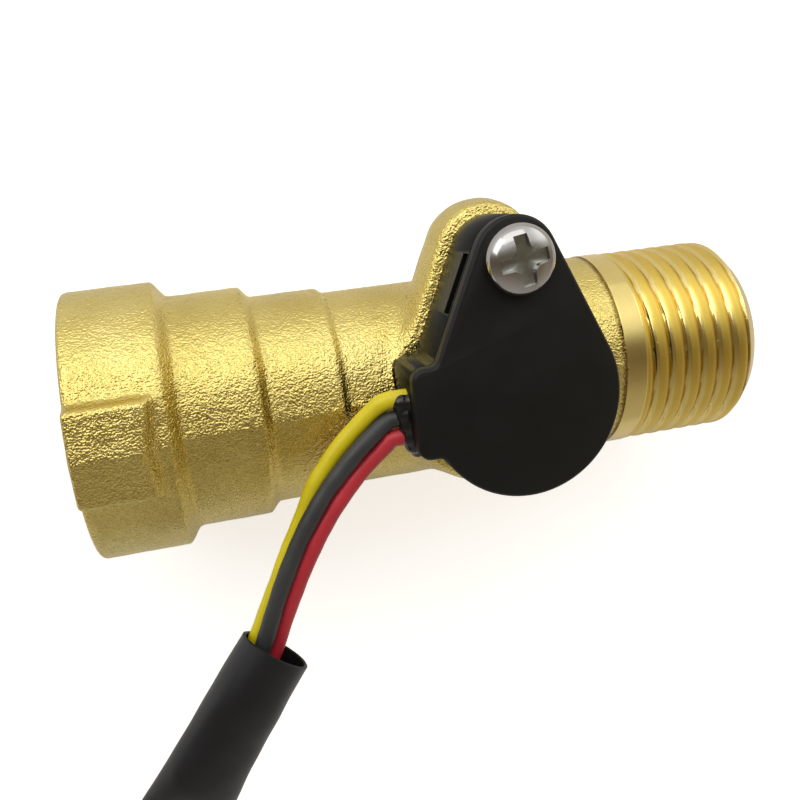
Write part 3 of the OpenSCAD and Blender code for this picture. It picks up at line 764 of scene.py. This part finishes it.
def screw(material, recess_material):
    """A pan-head screw with a domed head and a cross recess."""
    head_h = 2.3
    rim_h = 0.75
    tip_z = SEAT_Z - 4.6
    profile = [(0.0, tip_z), (1.2, tip_z), (SHANK_R, tip_z + 0.7), (SHANK_R, CASE_TOP),
               (SCREW_HEAD_R - 0.12, CASE_TOP), (SCREW_HEAD_R, CASE_TOP + 0.15),
               (SCREW_HEAD_R, CASE_TOP + rim_h)]
    dome = 14
    for k in range(1, dome + 1):
        a = k / dome * math.pi / 2
        r = SCREW_HEAD_R * math.cos(a) ** 0.86 if k < dome else 0.0
        profile.append((r, CASE_TOP + rim_h + (head_h - rim_h) * math.sin(a)))
    columns = 96
    points = []
    for r, z in profile:
        r = max(r, 0.01)
        for j in range(columns):
            a = 2 * math.pi * j / columns
            points.append((HEAD_X + r * math.cos(a), SCREW_Y + r * math.sin(a), z))
    piece = make_piece("fixing_screw_look", points, capped(len(profile), columns), material)
    top = CASE_TOP + head_h
    levels = [(top + 0.6, 2.36, 0.68, 0.72), (top - 0.30, 2.26, 0.64, 0.74), (top - 0.92, 2.18, 0.58, 0.76),
              (top - 0.96, 2.02, 0.50, 0.72), (top - 1.06, 0.90, 0.22, 0.30)]
    turn = math.radians(9)
    cut = []
    for z, reach, half, corner in levels:
        for x, y in recess_outline(reach, half, corner):
            cut.append((HEAD_X + x * math.cos(turn) - y * math.sin(turn),
                        SCREW_Y + x * math.sin(turn) + y * math.cos(turn), z))
    ring = len(cut) // len(levels)
    boolean(piece, make_piece("recess", cut, capped(len(levels), ring), None))
    # The recess faces get the second metal, which is rougher and darker. Its darker colour is painted shade
    # in the recess.
    dress(piece, material, recess_material)
    for face in piece.data.polygons:
        x, y, z = face.center / MM
        away = math.hypot(x - HEAD_X, y - SCREW_Y)
        face.material_index = 1 if away < 2.4 and CASE_TOP + 1 < z < top - 0.85 else 0
    shade(piece, 32)
    return piece


# Sealant

def sealant_field(p):
    """Smooth lumps of cured sealant round the three wires and down the edge of the case's lobe."""
    # The two low lumps at z 11.3 beside the yellow wire are a dark shape put at the tub's base where shade
    # falls: painted shade.
    lumps = [(29.3, 0.85, 14.5, 0.95), (29.6, -0.25, 14.6, 1.0), (29.85, -1.3, 14.6, 1.05),
             (30.0, -2.4, 14.5, 1.0), (30.2, -3.2, 14.2, 0.95), (30.4, 0.8, 14.7, 1.0),
             (30.6, -4.0, 13.7, 0.75), (31.5, -4.35, 13.6, 0.6), (32.4, -4.6, 13.5, 0.5),
             (30.9, 2.3, 11.3, 0.8), (31.6, 2.8, 11.3, 0.8), (29.9, 0.6, 13.2, 1.0),
             (30.2, -1.8, 13.2, 1.1)]
    total = None
    for x, y, z, r in lumps:
        d = np.sqrt((p[..., 0] - x) ** 2 + (p[..., 1] - y) ** 2 + (p[..., 2] - z) ** 2) - r
        total = d if total is None else smooth_min(total, d, 0.3)
    return np.maximum(total, p[..., 2] - 15.9)


def sealant(material):
    return solid_of("wire_sealant_look", sealant_field, (28.0, -5.6, 10.2), (33.2, 4.2, 16.4), 0.12, material)


# Wires and sleeve

def resample(route, step):
    """Points at even steps on a smooth curve through the route's points."""
    route = np.array(route, float)
    ends = np.vstack([2 * route[0] - route[1], route, 2 * route[-1] - route[-2]])
    dense = []
    for k in range(len(route) - 1):
        a, b, c, d = ends[k:k + 4]
        for t in np.linspace(0, 1, 24, endpoint=False):
            dense.append(0.5 * (2 * b + (c - a) * t + (2 * a - 5 * b + 4 * c - d) * t ** 2
                                + (3 * b - a - 3 * c + d) * t ** 3))
    dense.append(route[-1])
    dense = np.array(dense)
    run = np.concatenate([[0], np.cumsum(np.linalg.norm(np.diff(dense, axis=0), axis=1))])
    count = max(2, int(round(run[-1] / step)) + 1)
    marks = np.linspace(0, run[-1], count)
    return np.stack([np.interp(marks, run, dense[:, k]) for k in range(3)], 1), marks


def path_frames(path):
    """Side and up vectors along a path. The side stays level."""
    ahead = np.gradient(path, axis=0)
    ahead /= np.linalg.norm(ahead, axis=1)[:, None]
    side = np.cross([0, 0, 1.0], ahead)
    side /= np.maximum(np.linalg.norm(side, axis=1), 1e-6)[:, None]
    up = np.cross(ahead, side)
    return side, up


def wire(name, route, material, lean):
    """One slightly uneven insulated wire. The middle of its run is moved by lean."""
    path, marks = resample(route, 0.5)
    side, up = path_frames(path)
    columns = 20
    points = []
    for k, centre in enumerate(path):
        r = WIRE_D / 2 * (1.03 + 0.018 * math.sin(marks[k] * 1.1) + 0.012 * math.sin(marks[k] * 2.7))
        middle = centre + np.array(lean) * math.sin(math.pi * marks[k] / marks[-1]) ** 2
        for j in range(columns):
            a = 2 * math.pi * j / columns
            points.append(middle + r * (math.cos(a) * side[k] + math.sin(a) * up[k]))
    piece = make_piece(name, points, capped(len(path), columns), material, 60)
    return piece, path


def sleeve_route():
    """The sleeve's centreline: level out of the mouth, down, and round on the table to the connector."""
    route = list(SLEEVE_DROP)
    for k in range(LOOP_STEPS + 1):
        a = math.radians(LOOP_START + LOOP_TURN * k / LOOP_STEPS)
        fall = max(0, 1 - k / SETTLED_FROM)
        lift = max(0, 1 - (LOOP_STEPS - k) / SETTLED_FROM)
        low = REST_Z + SLEEVE_HALF_H
        z = low + LOOP_HIGH * fall ** 2 + (CONN_Z - low) * lift ** 2 * (3 - 2 * lift)
        route.append((LOOP_CENTRE[0] + LOOP_R * math.cos(a), LOOP_CENTRE[1] + LOOP_R * math.sin(a), z))
    return route


def sleeve_size(s):
    """Half-width and half-height of the sleeve at a distance from its mouth."""
    flat = float(smooth_step(s / 26))
    away = min(1.0, s / 12)
    half_w = MOUTH_R + 1.0 * flat + 0.10 * away * math.sin(s * 0.31 + 1)
    half_h = MOUTH_R + (SLEEVE_HALF_H - MOUTH_R) * flat + 0.05 * away * math.sin(s * 0.47 + 2)
    return half_w, half_h


def sleeve(material):
    """A soft, flattened sleeve with an open mouth. The wires go into it."""
    path, marks = resample(sleeve_route(), 0.6)
    side, up = path_frames(path)
    ahead = np.cross(side, up)
    columns = 64
    wall = 0.35
    depth = 14
    rings = []
    for k in range(len(path)):
        half_w, half_h = sleeve_size(marks[k])
        ring = []
        for j in range(columns):
            a = 2 * math.pi * j / columns
            c, s = math.cos(a), math.sin(a)
            spot = path[k] + half_w * c * side[k] + half_h * s * up[k]
            away = min(1.0, marks[k] / 14)
            fold = noise.noise(Vector(spot) * 0.13 + Vector((3, 1, 7))) * 0.55
            fold += noise.noise(Vector(spot) * 0.34) * 0.22
            out = c * side[k] + s * up[k]
            tilt = 0.15 * half_h * s * max(0.0, 1 - marks[k] / 5)
            spot = spot + max(0.0, s) * fold * away * out - tilt * ahead[k]
            spot[2] = max(spot[2], REST_Z + 0.02)
            ring.append(spot)
        rings.append(ring)
    inner = []
    for k in range(depth):
        centre = path[k]
        inner.append([centre + (p - centre) * (1 - wall / max(np.linalg.norm(p - centre), 1))
                      for p in rings[k]])
    lip = [[(a + b) / 2 - ahead[0] * 0.12 for a, b in zip(rings[0], inner[0])]]
    rows = inner[::-1] + lip + rings
    points = [p for ring in rows for p in ring]
    piece = make_piece("cable_sleeve_look", points, capped(len(rows), columns), material, 50)
    return piece, path


def cable_end():
    """Frame at the far end of the sleeve: X points along the cable, away from the sleeve."""
    a = math.radians(LOOP_START + LOOP_TURN)
    at = Vector((LOOP_CENTRE[0] + LOOP_R * math.cos(a), LOOP_CENTRE[1] + LOOP_R * math.sin(a),
                 CONN_Z))
    return Matrix.Translation(at * MM) @ Matrix.Rotation(a + math.pi / 2, 4, "Z")


def leads(materials):
    """The three leads between the sleeve and the connector."""
    end_frame = cable_end()
    pieces = []
    for k, material in zip((-1, 0, 1), materials):
        xs = np.linspace(-2.5, LEAD_LEN + 0.8, 40)
        path = []
        for x in xs:
            pinch = 1 - 0.30 * (1 - float(smooth_step((x + 1) / 8)))
            path.append((x, k * PIN_PITCH * pinch, 0))
        path = np.array(path)
        side, up = path_frames(path)
        columns = 20
        r = WIRE_D / 2
        points = [centre + r * (math.cos(2 * math.pi * j / columns) * side[i]
                                + math.sin(2 * math.pi * j / columns) * up[i])
                  for i, centre in enumerate(path) for j in range(columns)]
        piece = make_piece("connector_lead_look_" + str(k + 2), points, capped(len(path), columns),
                           material, 60)
        piece.data.transform(end_frame)
        pieces.append(piece)
    return pieces


def refined(node, name, bevel, material):
    """A copy of a CAD node with its edges rounded."""
    piece = nodes[node].copy()
    piece.data = nodes[node].data.copy()
    piece.name = name
    piece.data.name = name
    piece.parent = None
    for key in list(piece.keys()):
        if key.startswith("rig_"):
            del piece[key]
    bpy.context.scene.collection.objects.link(piece)
    bm = bmesh.new()
    bm.from_mesh(piece.data)
    bmesh.ops.remove_doubles(bm, verts=bm.verts, dist=0.000005)
    bmesh.ops.dissolve_limit(bm, angle_limit=math.radians(2), verts=bm.verts, edges=bm.edges)
    bm.to_mesh(piece.data)
    bm.free()
    modifier = piece.modifiers.new("bevel", "BEVEL")
    modifier.width = bevel * MM
    modifier.segments = 3
    modifier.limit_method = "ANGLE"
    modifier.angle_limit = math.radians(40)
    apply_modifiers(piece)
    dress(piece, material)
    shade(piece, 35)
    return piece


# Stage, lights and camera

def floor_material():
    """White table. In the camera's view it clips to white and keeps the object's soft shadow."""
    material, shader, add = new_material("table_white")
    shader.inputs["Base Color"].default_value = (0.86, 0.85, 0.845, 1)
    shader.inputs["Roughness"].default_value = 0.8
    shader.inputs["Specular IOR Level"].default_value = 0.2
    path = add("ShaderNodeLightPath")
    glow = add("ShaderNodeMath", {0: path.outputs["Is Glossy Ray"], 1: 0.11}, operation="MULTIPLY")
    shader.inputs["Emission Color"].default_value = (1, 1, 1, 1)
    link(material, glow.outputs[0], shader.inputs["Emission Strength"])
    seen = add("ShaderNodeBsdfDiffuse", {"Color": (1.0, 1.0, 1.0, 1)})
    white = add("ShaderNodeEmission", {"Color": (1.0, 0.985, 0.965, 1), "Strength": 0.63})
    both = add("ShaderNodeAddShader", {0: seen.outputs[0], 1: white.outputs[0]})
    pick = add("ShaderNodeMixShader", {0: path.outputs["Is Camera Ray"], 1: shader.outputs[0],
                                       2: both.outputs[0]})
    output = material.node_tree.nodes["Material Output"]
    link(material, pick.outputs[0], output.inputs["Surface"])
    return material


def stage():
    half = 1.5
    z = REST_Z * MM
    mesh = bpy.data.meshes.new("table")
    mesh.from_pydata([(-half, -half, z), (half, -half, z), (half, half, z), (-half, half, z)], [],
                     [(0, 1, 2, 3)])
    table = bpy.data.objects.new("table", mesh)
    bpy.context.scene.collection.objects.link(table)
    mesh.materials.append(floor_material())


def world():
    """A light tent: bright on the screw's side, dark and warm overhead, dim on the cable's side.

    It grows brighter toward the outlet.
    """
    surroundings = bpy.data.worlds.new("tent")
    bpy.context.scene.world = surroundings
    surroundings.use_nodes = True
    tree = surroundings.node_tree
    background = tree.nodes["Background"]
    coords = tree.nodes.new("ShaderNodeTexCoord")
    split = tree.nodes.new("ShaderNodeSeparateXYZ")
    tree.links.new(coords.outputs["Generated"], split.inputs["Vector"])
    across = tree.nodes.new("ShaderNodeMapRange")
    across.inputs["From Min"].default_value = -1.0
    tree.links.new(split.outputs["Y"], across.inputs["Value"])
    tone = tree.nodes.new("ShaderNodeValToRGB")
    tree.links.new(across.outputs["Result"], tone.inputs["Fac"])
    stops = [(0.0, (0.42, 0.40, 0.37)), (0.14, (0.33, 0.30, 0.26)), (0.27, (0.22, 0.185, 0.145)),
             (0.42, (0.15, 0.12, 0.088)), (0.52, (0.16, 0.13, 0.10)), (0.58, (0.20, 0.18, 0.15)),
             (0.64, (0.38, 0.37, 0.34)), (0.71, (0.78, 0.78, 0.76)), (0.84, (1.0, 1.0, 1.0)),
             (1.0, (0.80, 0.80, 0.79))]
    elements = tone.color_ramp.elements
    while len(elements) < len(stops):
        elements.new(0.5)
    for element, (position, colour) in zip(elements, stops):
        element.position = position
        element.color = (*colour, 1)
    tree.links.new(tone.outputs["Color"], background.inputs["Color"])
    along = tree.nodes.new("ShaderNodeMapRange")
    along.interpolation_type = "SMOOTHSTEP"
    for socket, value in (("From Min", 0.50), ("From Max", 0.95), ("To Min", 1.15), ("To Max", 2.2)):
        along.inputs[socket].default_value = value
    tree.links.new(split.outputs["X"], along.inputs["Value"])
    tree.links.new(along.outputs["Result"], background.inputs["Strength"])


def area_light(name, at, aim, size, power):
    lamp = bpy.data.lights.new(name, "AREA")
    lamp.shape = "RECTANGLE"
    lamp.size, lamp.size_y = size
    lamp.energy = power
    holder = bpy.data.objects.new(name, lamp)
    holder.location = at
    holder.rotation_euler = (Vector(aim) - Vector(at)).to_track_quat("-Z", "Y").to_euler()
    bpy.context.scene.collection.objects.link(holder)


def camera():
    data = bpy.data.cameras.new("camera")
    data.sensor_width = SENSOR_W
    data.lens = SENSOR_W * FOCAL_PX / IMAGE_PX
    data.clip_start = 0.005
    holder = bpy.data.objects.new("camera", data)
    holder.location = Vector(CAMERA_AT) * MM
    holder.rotation_euler = [math.radians(a) for a in CAMERA_TURN]
    bpy.context.scene.collection.objects.link(holder)
    bpy.context.scene.camera = holder


camera()
stage()
world()
area_light("key", (0.035, 0.31, 0.26), (0.035, 0, 0), (0.34, 0.24), 0.20)
area_light("side", (-0.206, 0.224, 0.20), (0.05, 0, 0), (0.24, 0.20), 0.24)
bpy.context.scene.view_settings.view_transform = "Standard"

# Materials
brass = cast_brass()
turned_brass = machined_brass("brass_machined", (0.86, 0.68, 0.25), 0.19, 0.000010)
thread_brass = machined_brass("brass_thread", (0.86, 0.69, 0.26), 0.17, 0.000012, threaded=True)
case_black = plastic("case_black", (0.008, 0.008, 0.007), 0.26, grain_scale=1500, grain=0.000004,
                     shine_level=0.12)
cover_black = plastic("cover_black", (0.0075, 0.0075, 0.0065), 0.46, grain_scale=1900, grain=0.000006,
                      shine_level=0.3)
glue_black = plastic("sealant_black", (0.010, 0.010, 0.010), 0.11, grain_scale=500, grain=0.00003)
pvc_yellow = plastic("pvc_yellow", (0.80, 0.66, 0.010), 0.38, variation=0.10)
pvc_black = plastic("pvc_black", (0.042, 0.044, 0.045), 0.42, variation=0.15)
pvc_red = plastic("pvc_red", (0.58, 0.032, 0.048), 0.38, variation=0.12)
sleeve_black = plastic("sleeve_black", (0.0095, 0.010, 0.0125), 0.34, grain_scale=700, grain=0.00002,
                       mottle=90)
nylon_white = plastic("nylon_white", (0.80, 0.79, 0.74), 0.42, variation=0.04)
nickel = metal("screw_nickel", (0.46, 0.445, 0.43), 0.11)
# Rougher metal for the screw's cross recess. Its darker colour is painted shade in the recess.
recess_painted_shade = metal("screw_recess", (0.36, 0.37, 0.33), 0.30, (900, 900, 900), variation=0.2)
steel = metal("stainless", (0.62, 0.62, 0.60), 0.25, (2500, 300, 300))
tin = metal("tinned", (0.72, 0.71, 0.66), 0.28)
solder = metal("solder", (0.60, 0.60, 0.58), 0.35)
pom = plastic("pom_white", (0.78, 0.77, 0.73), 0.36, variation=0.04)
ferrite = plastic("ferrite", (0.045, 0.045, 0.048), 0.55, grain_scale=2500, grain=0.00002)
bush = plastic("bush_plastic", (0.62, 0.55, 0.40), 0.4, variation=0.05)
board_green = plastic("pcb_green", (0.012, 0.085, 0.030), 0.33, variation=0.1)
chip = plastic("chip_black", (0.018, 0.018, 0.018), 0.45)
epoxy = plastic("epoxy", (0.030, 0.027, 0.022), 0.2)


def place(piece, body, slot, *replaced):
    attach(piece, body)
    if replaced:
        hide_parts(*replaced)


# Cords
sleeve_piece, sleeve_path = sleeve(sleeve_black)
place(sleeve_piece, "housing", "sleeve_black", "cable_sleeve")
straight = (0, 0, 0)
to_black = (-0.22, 0.10, 0)
for node, route, material, slot, lean in (("wire_yellow", YELLOW_ROUTE, pvc_yellow, "pvc_yellow", straight),
                                          ("wire_black", BLACK_ROUTE, pvc_black, "pvc_black", straight),
                                          ("wire_red", RED_ROUTE, pvc_red, "pvc_red", to_black)):
    piece, path = wire(node + "_look", route, material, lean)
    place(piece, "housing", slot, node)

lead_pieces = leads((pvc_yellow, pvc_black, pvc_red))
for piece, slot in zip(lead_pieces, ("pvc_yellow", "pvc_black", "pvc_red")):
    place(piece, "housing", slot, "connector_leads")
plug = refined("connector_housing", "connector_housing_look", 0.18, nylon_white)
place(plug, "housing", "nylon_white", "connector_housing")
dress(nodes["connector_contacts"], tin)

# Body, case, screw and sealant
place(brass_body(brass, turned_brass, thread_brass), "housing", "brass", "valve_body")
place(sensor_case(case_black), "housing", "case_black", "sensor_case")
place(case_cover(cover_black), "housing", "case_black", "case_cover")
place(screw(nickel, recess_painted_shade), "housing", "screw_nickel", "fixing_screw")
place(sealant(glue_black), "housing", "sealant_black", "wire_sealant")

# Pieces that keep their CAD shape
finishes = {"hall_board": board_green, "hall_element": chip, "board_parts": solder, "potting": epoxy,
            "retaining_ring": steel, "flow_guide": pom, "rotor_shaft": steel, "rotor": pom,
            "magnet_ring": ferrite, "front_bush": bush, "rear_bush": bush, "thrust_washer": pom,
            "rear_support": pom}
for node, material in finishes.items():
    dress(nodes[node], material)
